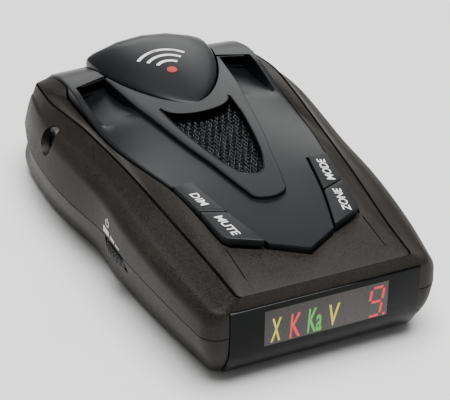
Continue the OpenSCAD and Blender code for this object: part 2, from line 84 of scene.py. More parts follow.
# (y, height) of the edges that run along the flank
SIDE_Z = [(-55, 16.4), (-20, 19.2), (10, 20.4), (30, 19), (46, 17.4), (55, 14.8)]
SHOULDER_Z = [(-55, 18.4), (-38, 19.8), (-20, 21.2), (0, 22.3), (12, 22.4), (24, 21.8), (34, 21.1),
              (44, 20.5), (54, 17.6)]
GROOVE_Z = [(-54.7, 21.4), (-42, 22.3), (-25, 23.9), (-5, 25.2), (15, 25.6), (26, 25), (36, 23.8), (46, 22.6),
            (53, 20.8)]

Y_DISP, Y_ROAD = UPPER_LO[1], UPPER_HI[1]
BOW_DISP, BOW_ROAD = 0.15, 0.8
WALL = 2.0
Y_STEP = 33.0
DECK_TOP = 28.6
RAISE = 0.8
DECK_T = 1.8
KEY_GAP = 0.35
V_TIP = -47.3
V_IN = (7.8, -42.8)
V_OUT = (16, -39.6)
LENS_HALF = LENS_HI[0]
WHEEL_AT = ((WHEEL_LO[0] + WHEEL_HI[0]) / 2, (WHEEL_LO[1] + WHEEL_HI[1]) / 2)
WHEEL_R = (WHEEL_HI[1] - WHEEL_LO[1]) / 2
JACK_Y, JACK_Z = (JACK_LO[1] + JACK_HI[1]) / 2, 19.4
BOSSES = ((20.4, -43), (25.6, 41))
JACK_R = 3.25
LENS_GAP = 0.08
THROUGH = (10, 40)  # heights between which a cutter goes right through the deck
DOME_TIP, DOME_LONG, DOME_HALF = 13, 31, 15.5  # tip, run to the widest place, half-width
DOME_MIDDLE = 38
SLOT_X, SLOT_HALF, SLOT_Y, SLOT_Z = 18.05, 2.75, (31, 37.5), (25.3, 27.3)
LEAN, LEAN_FROM = 0.3, 18.6  # how far the slots' wall leans for each millimetre inside this x
GRILLE_TIP, GRILLE_HORN, GRILLE_MIDDLE, GRILLE_DEEP = -20, 13, -3.5, 2.55
FLANK_BARS = ((8.2, 11.2, 14.9), (12.0, 14.4, 14.2), (15.2, 17.2, 13.75))  # start, end and height of each bar
FLANK_BASE = 13.3


def clamp01(t):
    return max(0.0, min(1.0, t))


def smooth(t):
    c = clamp01(t)
    return c * c * (3 - 2 * c)


def mix(a, b, t):
    return a + (b - a) * t


def curve(p, y):
    """The smooth curve through the points p, at y."""
    i = 0
    while i < len(p) - 2 and y >= p[i + 1][0]:
        i += 1

    def tangent(k):
        a, b = p[max(0, k - 1)], p[min(len(p) - 1, k + 1)]
        return (b[1] - a[1]) / (b[0] - a[0])

    h = p[i + 1][0] - p[i][0]
    t = clamp01((y - p[i][0]) / h)
    s = 1 - t
    ends = s * s * (1 + 2 * t) * p[i][1] + t * t * (3 - 2 * t) * p[i + 1][1]
    return ends + t * s * h * (s * tangent(i) - t * tangent(i + 1))


def between(a, b, share):
    """The points of a run that lies between two others, that share of the way across."""
    return [(y, mix(curve(a, y), curve(b, y), share)) for y, _ in b]


# The wall is rounded just above its outer edge, and a shallow valley runs above the shoulder
BROW_W, BROW_Z = between(SIDE_W, SHOULDER_W, 0.18), between(SIDE_Z, SHOULDER_Z, 0.18)
VALLEY_W, VALLEY_Z = between(SHOULDER_W, GROOVE_W, 0.3), between(SHOULDER_Z, GROOVE_Z, 0.3)


def top_z(y):
    """Height of the deck's centre line."""
    return DECK_TOP - (3.8 * ((34 - y) / 77) ** 2 if y < 34 else 0.02 * (y - 34) ** 2)


def crown(y):
    return 2.9 * smooth((y + 22) / 34)


def deck_z(x, y, lane):
    """Height of the deck. The lane is "deck", the bracket's run-in, or the outer rail beside it."""
    f = min(1.0, abs(x) / curve(DECK_W, y))
    plate = top_z(y) - 0.1 - 0.6 * f * f
    if y > Y_STEP:
        return plate
    plain = top_z(y) - RAISE / 2 - crown(y) * f * f
    if lane == "run":
        return plain - 1.8 * smooth((y - 12) / 17)
    if lane == "rail":
        return mix(plain, plate, smooth((y - 12) / 21))
    return plain


def under_z(x, y):
    if y > Y_STEP:
        return top_z(y) - 4.4
    return deck_z(x, y, "run") - DECK_T


def apron_z(y):
    return 21.7 + 0.126 * (y + 54.7)


def strip_z(y):
    """Height of the shell's inner edge, round the deck."""
    return min(apron_z(y), deck_z(curve(DECK_W, y), y, "deck") - 0.3)


def key_z(y):
    return top_z(y) + 0.2


def spine_z(x, y):
    drop = crown(min(y, Y_STEP)) * (x / curve(DECK_W, y)) ** 2
    return top_z(y) + RAISE / 2 - 0.6 * drop


def dome_w(y):
    return DOME_HALF * math.sin(math.pi / 2 * clamp01((y - DOME_TIP) / DOME_LONG)) ** 0.6


def dome_z(x, y):
    foot = top_z(DOME_TIP)
    rise = (DOME_HI[2] - foot) * math.sin(math.pi / 2 * clamp01((y - DOME_TIP) / 28))
    return foot + rise - 3.6 * (x / DOME_HALF) ** 2 - 1.2 * clamp01((y - 41) / 6) ** 2


# ---- plan outlines: one side's stations from the display end to the road end ----
def side_run(w, y0, y1, r0, r1, d=0.0):
    """End face, corner, flank, corner and end face, as (x, y)."""
    a0, a1 = y0 + BOW_DISP, y1 - BOW_ROAD
    ends, flank = 3 * SPLIT, 12 * SPLIT
    run = []
    for k in range(ends):
        t = k / ends
        run.append(((curve(w, a0) + d - r0) * t, y0 + BOW_DISP * t * t))
    for k in range(ends):
        a = math.pi / 2 * k / ends
        y = a0 + r0 * (1 - math.cos(a))
        run.append((curve(w, y) + d - r0 * (1 - math.sin(a)), y))
    for k in range(flank):
        y = mix(a0 + r0, a1 - r1, k / flank)
        run.append((curve(w, y) + d, y))
    for k in range(ends):
        a = math.pi / 2 * (1 - k / ends)
        y = a1 - r1 * (1 - math.cos(a))
        run.append((curve(w, y) + d - r1 * (1 - math.sin(a)), y))
    for k in range(ends + 1):
        t = 1 - k / ends
        run.append(((curve(w, a1) + d - r1) * t, y1 - BOW_ROAD * t * t))
    return run


def split(points, parts=SPLIT):
    """Straight lines through the points, with each one divided into parts."""
    fine = []
    for a, b in zip(points, points[1:]):
        fine += [(mix(a[0], b[0], k / parts), mix(a[1], b[1], k / parts)) for k in range(parts)]
    return fine + [points[-1]]


def deck_run(d=0.0):
    """Outline of the deck with its pointed display-side edge."""
    tip = [(0, V_TIP - d), (V_IN[0] / 2, (V_TIP + V_IN[1]) / 2 - d), (V_IN[0], V_IN[1] - d), (12, -41.2 - d),
           (V_OUT[0] - 1.2 + d, V_OUT[1] - 0.2 - d), (V_OUT[0] + d, -38.2)]
    ys = [-34, -26, -17, -10, -1, 7, 12, 16, 20, 24, 28, 32.9, 33.1, 40]
    road = [(24.4 + d, 46), (23.4 + d, 47.8 + d), (16, 48.4 + d), (8, 48.8 + d), (0, 49 + d)]
    run = split(tip + [(curve(DECK_W, y) + d, y) for y in ys] + road)
    return [(curve(DECK_W, y) + d if -34 <= y <= 40 else x, y) for x, y in run]


def dome_run(d=0.0):
    """The dome's outline: an arched tip, then a nearly straight road edge."""
    run = [(0, DOME_TIP - d)]
    for k in range(1, 24):
        a = math.pi / 2 * k / 24
        y = DOME_TIP + DOME_LONG * (1 - math.cos(a))
        run.append((dome_w(y) + d, y - d * math.cos(a)))
    return run + [(DOME_HALF + d, 44.5), (15.3 + d, 45.3), (14.9 + d, 46 + d * 0.7), (13.6, 46.6 + d),
                  (7, 46.9 + d), (0, 47 + d)]


def grille_run(d=0.0):
    """The grille's opening: a rounded tip, two horns and a hollow road edge."""
    run = [(0, -20.2 - d), (1, -20 - d), (1.8 + d / 2, -19.6 - d), (2.6 + d, -18.9 - d / 2)]
    run += [(curve(GRILLE_W, y) + d, y) for y in [-18 + 31 * k / 16 for k in range(17)]]
    run.append((8.4 + d, 13.4 + d))
    for k in range(1, 9):
        a = math.pi / 2 * (1 - k / 8)
        run.append(((8.4 + d) * math.sin(a), 13.4 - 5 * math.cos(a) + d))
    return run


def spine_run(d=0.0):
    run = []
    for k in range(8):
        a = math.pi / 2 * k / 8
        run.append(((curve(SPINE_W, -26) + d) * math.sin(a), -26 - (3 + d) * math.cos(a)))
    run += [(curve(SPINE_W, y) + d, y) for y in [-26 + (Y_STEP - 0.2 + 26) * k / 40 for k in range(41)]]
    return run + [(0, Y_STEP - 0.2)]


def key_plan(y0, y1):
    """Outline of a key on the +X side, between y0 and y1."""
    gap = KEY_GAP / 2
    lean0 = 3.4 if y0 < -40 else 2.1
    lean1 = 0 if y1 > -20 else 2.1

    def edge(y):
        return curve(DECK_W, y) - (1.2 * ((-37 - y) / 2.5) ** 2 if y < -37 else 0)

    steps = 8
    inner = [(curve(KEY_IN, y), y) for y in [mix(y0 + gap, y1 - gap, k / steps) for k in range(steps + 1)]]
    outer = [(edge(y), y) for y in
             [mix(y0 + gap + lean0, y1 - gap + lean1, k / steps) for k in range(steps, -1, -1)]]
    return inner + outer


def ring(run, height):
    """The whole outline from one side's run, at the heights that the function gives for x and y."""
    left = [(-x, y) for x, y in reversed(run[1:-1])]
    return [Vector((x, y, height(x, y))) for x, y in list(run) + left]


def level(z):
    return lambda x, y: z


def along(points, d=0.0):
    return lambda x, y: curve(points, y) + d


# ---- mesh steps ----
def first_ring(bm, places):
    """A closed loop of vertices at the places."""
    verts = bmesh.ops.create_circle(bm, segments=len(places), radius=1)["verts"]
    for v, place in zip(verts, places):
        v.co = place
    return verts


def next_ring(bm, verts, places):
    """Extrudes a closed loop of vertices and moves the new loop to the places."""
    made = bmesh.ops.extrude_edge_only(bm, edges=loop_edges(bm, verts))["geom"]
    fresh = {v for v in made if isinstance(v, bmesh.types.BMVert)}
    loop = []
    for v, place in zip(verts, places):
        twin = next(e.other_vert(v) for e in v.link_edges if e.other_vert(v) in fresh)
        twin.co = place
        loop.append(twin)
    return loop


def loft(rings, closed=False):
    """A skin over rings of equal length. A closed one joins its last ring to its first."""
    bm = bmesh.new()
    loops = [first_ring(bm, rings[0])]
    for places in rings[1:] + ([rings[0]] if closed else []):
        loops.append(next_ring(bm, loops[-1], places))
    return bm, loops


def loop_edges(bm, loop):
    return [bm.edges.get((a, b)) for a, b in zip(loop, loop[1:] + loop[:1])]


def cap(bm, loop):
    """Fills a closed loop of vertices with one face."""
    return bmesh.ops.edgeloop_fill(bm, edges=loop_edges(bm, loop))["faces"]


def round_edges(bm, edges, width, segments):
    bmesh.ops.bevel(bm, geom=edges, offset=width, offset_type="OFFSET", affect="EDGES", segments=segments,
                    profile=0.5, material=-1)


def soften(bm, loop, width):
    """Rounds the edges of one closed loop."""
    round_edges(bm, loop_edges(bm, loop), width, 3)


def heal(bm, near=1e-4):
    bmesh.ops.remove_doubles(bm, verts=bm.verts, dist=near)
    bmesh.ops.dissolve_degenerate(bm, edges=bm.edges, dist=near)
    bmesh.ops.recalc_face_normals(bm, faces=bm.faces)


def add_box(bm, lo, hi, turn=0.0):
    """A box between two corners, turned about its own upright axis."""
    size = Vector([b - a for a, b in zip(lo, hi)])
    middle = Vector([(a + b) / 2 for a, b in zip(lo, hi)])
    place = Matrix.Translation(middle) @ Matrix.Rotation(turn, 4, "Z") @ Matrix.Diagonal((*size, 1))
    return bmesh.ops.create_cube(bm, size=1, matrix=place)["verts"]


def add_rod(bm, middle, axis, radius, length, sides=48):
    turn = Vector(axis).to_track_quat("Z", "Y").to_matrix().to_4x4()
    bmesh.ops.create_cone(bm, cap_ends=True, segments=sides, radius1=radius, radius2=radius, depth=length,
                          matrix=Matrix.Translation(middle) @ turn)


def add_prism(bm, outline, z0, z1):
    """A straight prism on an outline of (x, y) points."""
    low = first_ring(bm, [(p[0], p[1], z0) for p in outline])
    top = next_ring(bm, low, [Vector((p[0], p[1], z1)) for p in outline])
    cap(bm, low)
    cap(bm, top)
    return low, top


def whole(run):
    """The closed outline from one side's run, as (x, y)."""
    return list(run) + [(-x, y) for x, y in reversed(run[1:-1])]


def add_tube(bm, path, radius, sides=6, closed=False):
    """A round wire along a path, its section square to the path at every point."""
    points = [Vector(p) for p in path]
    last = len(points) - 1
    loops = []
    for i, p in enumerate(points):
        before = points[i - 1] if i or closed else p
        after = points[(i + 1) % len(points)] if i < last or closed else p
        ahead = (after - before).normalized()
        across = ahead.cross(Vector((0, 0, 1)) if abs(ahead.z) < 0.9 else Vector((1, 0, 0))).normalized()
        over = across.cross(ahead)
        turns = [math.tau * k / sides for k in range(sides)]
        places = [p + radius * (math.cos(a) * across + math.sin(a) * over) for a in turns]
        loops.append(next_ring(bm, loops[-1], places) if loops else first_ring(bm, places))
    if closed:
        bmesh.ops.bridge_loops(bm, edges=loop_edges(bm, loops[0]) + loop_edges(bm, loops[-1]))
    else:
        cap(bm, loops[0])
        cap(bm, loops[-1])


def placed(name, data):
    """A new object in the scene that holds the data."""
    obj = bpy.data.objects.new(name, data)
    bpy.context.scene.collection.objects.link(obj)
    return obj


def mesh_object(name, bm):
    mesh = bpy.data.meshes.new(name)
    bm.to_mesh(mesh)
    bm.free()
    return placed(name, mesh)


def evaluated_mesh(obj):
    bpy.context.view_layer.update()
    depsgraph = bpy.context.evaluated_depsgraph_get()
    return bpy.data.meshes.new_from_object(obj.evaluated_get(depsgraph))


def carve(obj, cutter_bm):
    """Cuts the cutter's solids out of the piece."""
    heal(cutter_bm)
    cutter = mesh_object(obj.name + "_cutter", cutter_bm)
    step = obj.modifiers.new("Openings", "BOOLEAN")
    step.operation = "DIFFERENCE"
    step.solver = "MANIFOLD"
    step.object = cutter
    mesh = evaluated_mesh(obj)
    obj.modifiers.clear()
    obj.data = mesh
    bpy.data.objects.remove(cutter)
    if len(mesh.polygons) < 4:
        raise RuntimeError(f"{obj.name} lost its faces when its openings were cut")


def piece(name, bm, material, body, stands_for=(), cutter=None, sharp=32, merge=True):
    """Takes a mesh made in millimetres, then cuts it, scales it, shades it and puts it on its body."""
    if merge:
        heal(bm)
    bmesh.ops.recalc_face_normals(bm, faces=bm.faces)
    obj = mesh_object(name, bm)
    if cutter is not None:
        carve(obj, cutter)
    obj.data.name = name
    obj.data.transform(Matrix.Scale(MM, 4))
    obj.data.shade_smooth()
    obj.data.set_sharp_from_angle(angle=math.radians(sharp))
    obj.data.materials.clear()
    obj.data.materials.append(material)
    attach(obj, body)
    if stands_for:
        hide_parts(*stands_for)
    return obj


# ---- materials ----
def linear(code):
    """An sRGB hex colour as linear red, green, blue and alpha."""
    parts = [int(code[i:i + 2], 16) / 255 for i in (1, 3, 5)]
    return (*[c / 12.92 if c <= 0.04045 else ((c + 0.055) / 1.055) ** 2.4 for c in parts], 1.0)


def add(tree, kind, settings=None, links=None):
    """Adds a node with its settings, and links the given sockets to its inputs."""
    node = tree.nodes.new(kind)
    for key, value in (settings or {}).items():
        if isinstance(key, str) and hasattr(node, key):
            setattr(node, key, value)
        else:
            node.inputs[key].default_value = value
    for key, source in (links or {}).items():
        tree.links.new(source, node.inputs[key])
    return node


def surface(name, dark, light, patch_mm, grain_mm, depth_mm, rough, spread, speckle=0.26, **shader):
    """A finish with a slow drift between two shades and a fine grain that also moves its roughness.
    The grain's scale and depth are in millimetres, and speckle is the grain's share of the shade."""
    material = bpy.data.materials.new(name)
    material.use_nodes = True
    tree = material.node_tree
    tree.nodes.clear()
    place = add(tree, "ShaderNodeTexCoord").outputs["Object"]
    drift = add(tree, "ShaderNodeTexNoise", {"Scale": 1 / (patch_mm * MM), "Detail": 3.0}, {"Vector": place})
    grain = add(tree, "ShaderNodeTexNoise", {"Scale": 1 / (grain_mm * MM), "Detail": 2.0, "Roughness": 0.6},
                {"Vector": place})
    shade = add(tree, "ShaderNodeMix", {"Factor": speckle},
                {"A": drift.outputs["Fac"], "B": grain.outputs["Fac"]})
    ramp = add(tree, "ShaderNodeValToRGB", {}, {"Fac": shade.outputs["Result"]})
    ramp.color_ramp.elements[0].position = 0.34
    ramp.color_ramp.elements[0].color = linear(dark)
    ramp.color_ramp.elements[1].position = 0.66
    ramp.color_ramp.elements[1].color = linear(light)
    sheen = add(tree, "ShaderNodeMapRange", {"From Min": 0.3, "From Max": 0.7, "To Min": rough - spread,
                                            "To Max": rough + spread}, {"Value": grain.outputs["Fac"]})
    relief = add(tree, "ShaderNodeBump", {"Strength": 0.7, "Distance": depth_mm * MM},
                 {"Height": grain.outputs["Fac"]})
    skin = add(tree, "ShaderNodeBsdfPrincipled", shader,
               {"Base Color": ramp.outputs["Color"], "Roughness": sheen.outputs["Result"],
                "Normal": relief.outputs["Normal"]})
    add(tree, "ShaderNodeOutputMaterial", {}, {"Surface": skin.outputs["BSDF"]})
    return material


def node_of(material, kind):
    return next(n for n in material.node_tree.nodes if n.bl_idname == kind)


def spark_eroded_abs():
    # ABS from a spark-eroded mould: even, matt, with a fine sparkle of grain over a warm charcoal
    finish = bpy.context.scene.detector_finish
    return surface("spark_eroded_abs", finish.shell_dark, finish.shell_light, 14, finish.grain / MM, 0.035,
                   0.5, 0.12, 0.75, **{"IOR": 1.53, "Specular IOR Level": 0.2})


def satin_abs():
    # ABS from a polished mould: smooth and darker, so that it mirrors the light tent softly
    finish = bpy.context.scene.detector_finish
    return surface("satin_abs", finish.deck_dark, finish.deck_light, 18, 0.5, 0.006, 0.33, 0.03,
                   **{"IOR": 1.53, "Specular IOR Level": 0.22})


def key_abs():
    # The keys' own mould: a shade greyer and a little rougher than the deck
    return surface("satin_key_abs", "#0e1112", "#17191b", 9, 0.4, 0.012, 0.42, 0.05,
                   **{"IOR": 1.53, "Specular IOR Level": 0.24})


def smoked_acrylic():
    # Cast acrylic, dyed almost black: deep, wet gloss with a faint flow ripple
    return surface("smoked_acrylic", "#060708", "#0b0d0e", 12, 3, 0.004, 0.14, 0.04,
                   **{"IOR": 1.49, "Specular IOR Level": 0.12})


def window_film():
    # Printed film behind the display window: warm grey, with the dim dots of unlit lamps
    material = surface("display_window_film", "#2a2624", "#36302e", 6, 0.5, 0.003, 0.3, 0.04, **{"IOR": 1.49})
    tree = material.node_tree
    place = add(tree, "ShaderNodeTexCoord").outputs["Object"]
    dots = add(tree, "ShaderNodeTexVoronoi", {"Scale": 1 / (0.9 * MM), "Randomness": 0.0}, {"Vector": place})
    relief = node_of(material, "ShaderNodeBump")
    tree.links.new(dots.outputs["Distance"], relief.inputs["Height"])
    return material


def lamp_film(name, code, glow):
    # A coloured lamp behind a diffusing film: saturated, with a soft speckle
    shade = "#" + "".join(f"{int(int(code[i:i + 2], 16) * 0.82):02x}" for i in (1, 3, 5))
    return surface(name, shade, code, 1.5, 0.25, 0.004, 0.4, 0.08,
                   **{"IOR": 1.49, "Emission Color": linear(code), "Emission Strength": glow})


def printed_ink(name, dark, light):
    # Pad-printed ink: flat and opaque, with the mould's grain showing through
    return surface(name, dark, light, 2, 0.2, 0.01, 0.5, 0.08, **{"IOR": 1.5})


def black_wire():
    # Steel wire with a black oxide finish: dark, with hard little glints on every crown
    return surface("black_oxide_wire", "#1a1c1d", "#303334", 2, 0.3, 0.01, 0.28, 0.08, **{"Metallic": 0.85})


def felt():
    # Dust felt behind the grille: a soft black nap
    return surface("dust_felt", "#050606", "#0c0d0d", 1.5, 0.2, 0.08, 0.95, 0.04,
                   **{"IOR": 1.4, "Sheen Weight": 0.2})


def wheel_abs():
    # ABS thumbwheel, moulded matt for grip
    return surface("matt_wheel_abs", "#141516", "#1f2121", 5, 0.3, 0.02, 0.55, 0.08, **{"IOR": 1.53})


def red_acrylic():
    # Infra-red filter: acrylic that looks near black with a wine-red cast
    return surface("infrared_acrylic", "#1d0507", "#34090c", 8, 2.5, 0.003, 0.1, 0.03,
                   **{"IOR": 1.49, "Coat Weight": 0.5, "Coat Roughness": 0.04})


def solder_mask():
    # Glass-epoxy board under green solder mask, with its tracks as low ridges
    material = surface("green_solder_mask", "#12351f", "#1f5a34", 5, 0.8, 0.01, 0.35, 0.06, **{"IOR": 1.5})
    tree = material.node_tree
    place = add(tree, "ShaderNodeTexCoord").outputs["Object"]
    tracks = add(tree, "ShaderNodeTexBrick", {"Scale": 1 / (6 * MM), "Mortar Size": 0.04}, {"Vector": place})
    tree.links.new(tracks.outputs["Fac"], node_of(material, "ShaderNodeBump").inputs["Height"])
    return material


def metal(name, dark, light, grain_mm, depth_mm, rough):
    # A bare metal part: the grain is that of its rolling, casting or grinding
    return surface(name, dark, light, 6, grain_mm, depth_mm, rough, 0.07, **{"Metallic": 1.0})


def plastic(name, dark, light, rough):
    # A small moulded part that nobody polishes
    return surface(name, dark, light, 4, 0.3, 0.015, rough, 0.06, **{"IOR": 1.52})


# ---- the user's values ----
class DetectorFinish(bpy.types.PropertyGroup):
    """Colours and grain of the finishes, and the size of the small details."""

    shell_dark: StringProperty(name="Shell, dark shade", description="sRGB hex colour", default="#0a0908")
    shell_light: StringProperty(name="Shell, light shade", description="sRGB hex colour", default="#2a2520")
    deck_dark: StringProperty(name="Deck, dark shade", description="sRGB hex colour", default="#090b0d")
    deck_light: StringProperty(name="Deck, light shade", description="sRGB hex colour", default="#111316")
    grain: FloatProperty(name="Shell grain", description="Spacing of the shell's grain", default=0.4 * MM,
                         min=0.1 * MM, max=2 * MM, unit="LENGTH")
    edge: FloatProperty(name="Edge rounding", description="Rounding of the deck's and spine's edges",
                        default=0.3 * MM, min=0.05 * MM, max=0.6 * MM, unit="LENGTH")
    wire: FloatProperty(name="Grille wire", description="Radius of the grille's wire", default=0.2 * MM,
                        min=0.1 * MM, max=0.3 * MM, unit="LENGTH")
    wire_gap: FloatProperty(name="Grille pitch", description="Distance between the grille's wires",
                            default=1.25 * MM, min=0.8 * MM, max=3 * MM, unit="LENGTH")
    ridges: IntProperty(name="Wheel ridges", description="Finger ridges round the thumbwheel", default=48,
                        min=24, max=72)


class PieceOperator:
    """What the operators share: their options, and the user's edge rounding in millimetres."""

    bl_options = {"REGISTER"}

    @property
    def edge(self):
        return bpy.context.scene.detector_finish.edge / MM


class DETECTOR_OT_upper_shell(PieceOperator, bpy.types.Operator):
    """Builds the upper shell with its flank edges, outline groove and openings"""

    bl_idname = "detector.upper_shell"
    bl_label = "Upper Shell"

    def execute(self, context):
        lo = UPPER_LO[2]
        groove = (Y_DISP + 0.8, Y_ROAD - 2.8, 1.2, 4.5)
        opening, ledge = deck_run(0.25), deck_run(-1.6)

        def under(x, y):
            return under_z(curve(DECK_W, y), y) - 0.05

        rings = [
            ring(side_run(WAIST_W, Y_DISP, Y_ROAD, 3.6, 8), level(lo)),
            ring(side_run(BROW_W, Y_DISP, Y_ROAD - 0.7, 3.6, 7.4), along(BROW_Z)),
            ring(side_run(SHOULDER_W, Y_DISP + 0.2, Y_ROAD - 1.6, 3.4, 6.5), along(SHOULDER_Z)),
            ring(side_run(VALLEY_W, Y_DISP + 0.4, Y_ROAD - 2, 2.6, 5.8), along(VALLEY_Z, -0.45)),
            ring(side_run(GROOVE_W, *groove, 0.3), along(GROOVE_Z, -0.08)),
            ring(side_run(GROOVE_W, *groove, 0.16), along(GROOVE_Z, -0.9)),
            ring(side_run(GROOVE_W, *groove, -0.16), along(GROOVE_Z, -0.9)),
            ring(side_run(GROOVE_W, *groove, -0.3), along(GROOVE_Z, 0.03)),
            ring(opening, lambda x, y: strip_z(y)),
            ring(opening, under),
            ring(ledge, under),
            ring(ledge, lambda x, y: under(x, y) - 1.2),
            ring(side_run(SHOULDER_W, Y_DISP + WALL + 0.4, Y_ROAD - 4, 2.4, 5.5, -1.6),
                 along(SHOULDER_Z, -2.1)),
            ring(side_run(SIDE_W, Y_DISP + WALL, Y_ROAD - WALL - 0.7, 2.4, 6.5, -WALL), along(SIDE_Z, -1)),
            ring(side_run(WAIST_W, Y_DISP + WALL, Y_ROAD - WALL, 2.4, 6.5, -WALL), level(lo)),
        ]
        bm, loops = loft(rings, closed=True)
        for k, width in ((1, 1.5), (2, 0.35), (4, 0.12), (7, 0.12), (8, 0.2)):
            soften(bm, loops[k], width)
        cutter = bmesh.new()
        lens_side = LENS_HALF + LENS_GAP
        add_box(cutter, (-lens_side, Y_DISP - 1, lo - 1), (lens_side, Y_DISP + 4.5, LENS_HI[2] + LENS_GAP))
        add_box(cutter, (-10.2, Y_ROAD - 6, LASER_LO[2] - 0.15), (10.2, Y_ROAD + 1, LASER_HI[2] + 0.15))
        add_rod(cutter, (-34, JACK_Y, JACK_Z), (1, 0, 0), JACK_R, 12, 64)
        for x in (-16.1, 16.1):
            # The thin line that runs from the keys' corner down the apron
            add_box(cutter, (x - 0.11, -52.8, 22.0), (x + 0.11, -39.8, 30))
        piece("upper_shell", bm, spark_eroded_abs(), "housing", ["upper_housing"], cutter)
        return {"FINISHED"}


class DETECTOR_OT_lower_shell(PieceOperator, bpy.types.Operator):
    """Builds the lower shell with its screw holes, label recess and thumbwheel slot"""

    bl_idname = "detector.lower_shell"
    bl_label = "Lower Shell"

    def execute(self, context):
        rim = LOWER_HI[2]
        rings = [
            ring(side_run(FOOT_W, Y_DISP + 6.2, Y_ROAD - 4, 2, 9, -1.2), level(0)),
            ring(side_run(FOOT_W, Y_DISP + 4.6, Y_ROAD - 2.6, 2, 9), level(1.2)),
            ring(side_run(FOOT_W, Y_DISP + 2, Y_ROAD - 1.2, 2.5, 9, 0.9), level(4.2)),
            ring(side_run(WAIST_W, Y_DISP + 0.3, Y_ROAD - 0.4, 3, 8.5, -0.9), level(8)),
            ring(side_run(WAIST_W, Y_DISP, Y_ROAD, 3.6, 8), level(rim)),
            ring(side_run(WAIST_W, Y_DISP + WALL, Y_ROAD - WALL, 2.4, 6.5, -WALL), level(rim)),
            ring(side_run(WAIST_W, Y_DISP + WALL + 0.3, Y_ROAD - WALL - 0.4, 2.4, 6.5, -WALL - 0.9),
                 level(8)),
            ring(side_run(FOOT_W, Y_DISP + WALL + 5.2, Y_ROAD - WALL - 2.6, 2.4, 7, -WALL), level(WALL)),
        ]
        bm, loops = loft(rings)
        cap(bm, loops[0])
        cap(bm, loops[-1])
        for k, width in ((1, 0.7), (2, 1.6), (3, 1.6), (4, 0.12)):
            soften(bm, loops[k], width)
        cutter = bmesh.new()
        lens_side = LENS_HALF + LENS_GAP
        add_box(cutter, (-lens_side, Y_DISP - 1, LENS_LO[2] - LENS_GAP), (lens_side, Y_DISP + 9, rim + 1))
        add_rod(cutter, (*WHEEL_AT, rim), (0, 0, 1), WHEEL_R + 0.4, 2 * (rim - WHEEL_LO[2] + 0.4), 96)
        for sx in (-1, 1):
            for x, y in BOSSES:
                add_rod(cutter, (sx * x, y, 0), (0, 0, 1), 2.5, 4.8)
        add_box(cutter, (LABEL_LO[0] - 0.2, LABEL_LO[1] - 0.2, -1),
                (LABEL_HI[0] + 0.2, LABEL_HI[1] + 0.2, 0.4))
        piece("lower_shell", bm, spark_eroded_abs(), "housing", ["lower_housing"], cutter)
        return {"FINISHED"}


def slanted(p):
    """Leans the front plate's wall, so that its outer ends lie nearer the display."""
    near = smooth((p.y - 24) / (Y_STEP - 24)) * smooth((42 - p.y) / (42 - Y_STEP))
    return Vector((p.x, p.y + LEAN * (LEAN_FROM - abs(p.x)) * near, p.z)) if abs(p.x) > 10 else p


def slot_corners(side):
    return tuple((side * SLOT_X + d, y, z) for d, y, z in zip((-SLOT_HALF, SLOT_HALF), SLOT_Y, SLOT_Z))


def top_openings():
    """The cutter for the release button's hole and the grille's hole, in the deck and in the spine."""
    cutter = bmesh.new()
    add_prism(cutter, whole(dome_run(KEY_GAP)), *THROUGH)
    add_prism(cutter, whole(grille_run()), *THROUGH)
    return cutter


class DETECTOR_OT_deck(PieceOperator, bpy.types.Operator):
    """Builds the deck with its run-ins, rails and front plate, and the frames of its bracket slots"""

    bl_idname = "detector.deck"
    bl_label = "Deck"

    def execute(self, context):
        run = deck_run()
        lanes = [(1.0, "rail"), (0.96, "rail"), (0.935, "rail"), (0.9, "run"), (0.82, "run"), (0.7, "run"),
                 (0.58, "run"), (0.55, "deck"), (0.42, "deck"), (0.28, "deck"), (0.14, "deck"), (0.0, "deck")]

        def row(f, height):
            return [slanted(p) for p in ring([(x * f, y) for x, y in run], height)]

        low = [row(f, under_z) for f in (0.0, 0.3, 0.6, 0.9, 1.0)]
        high = [row(f, lambda x, y, lane=lane: deck_z(x, y, lane)) for f, lane in lanes]
        bm, loops = loft(low + high)
        soften(bm, loops[len(low)], self.edge)
        cutter = top_openings()
        for side in (-1, 1):
            area = [(curve(KEY_IN, y) - KEY_GAP, y) for y in [-60 + 42.7 * k / 20 for k in range(21)]]
            add_prism(cutter, [(side * x, y) for x, y in area + [(40, -17.3), (40, -60)]], *THROUGH)
            add_box(cutter, *slot_corners(side))
        satin = satin_abs()
        piece("deck", bm, satin, "housing", ["deck_panel"], cutter, sharp=16)

        trims = bmesh.new()
        for side in (-1, 1):
            # A raised frame round each bracket slot, on the slanted wall
            lo, hi = slot_corners(side)
            lean = [(x, Y_STEP + LEAN * (LEAN_FROM - abs(x)) - 0.1) for x in (lo[0] - 0.5, hi[0] + 0.5)]
            frame_path = [(*lean[0], lo[2] - 0.35), (*lean[1], lo[2] - 0.35), (*lean[1], hi[2] + 0.35),
                          (*lean[0], hi[2] + 0.35)]
            add_tube(trims, frame_path, 0.22, 8, closed=True)
        piece("slot_frames", trims, satin, "housing")
        return {"FINISHED"}


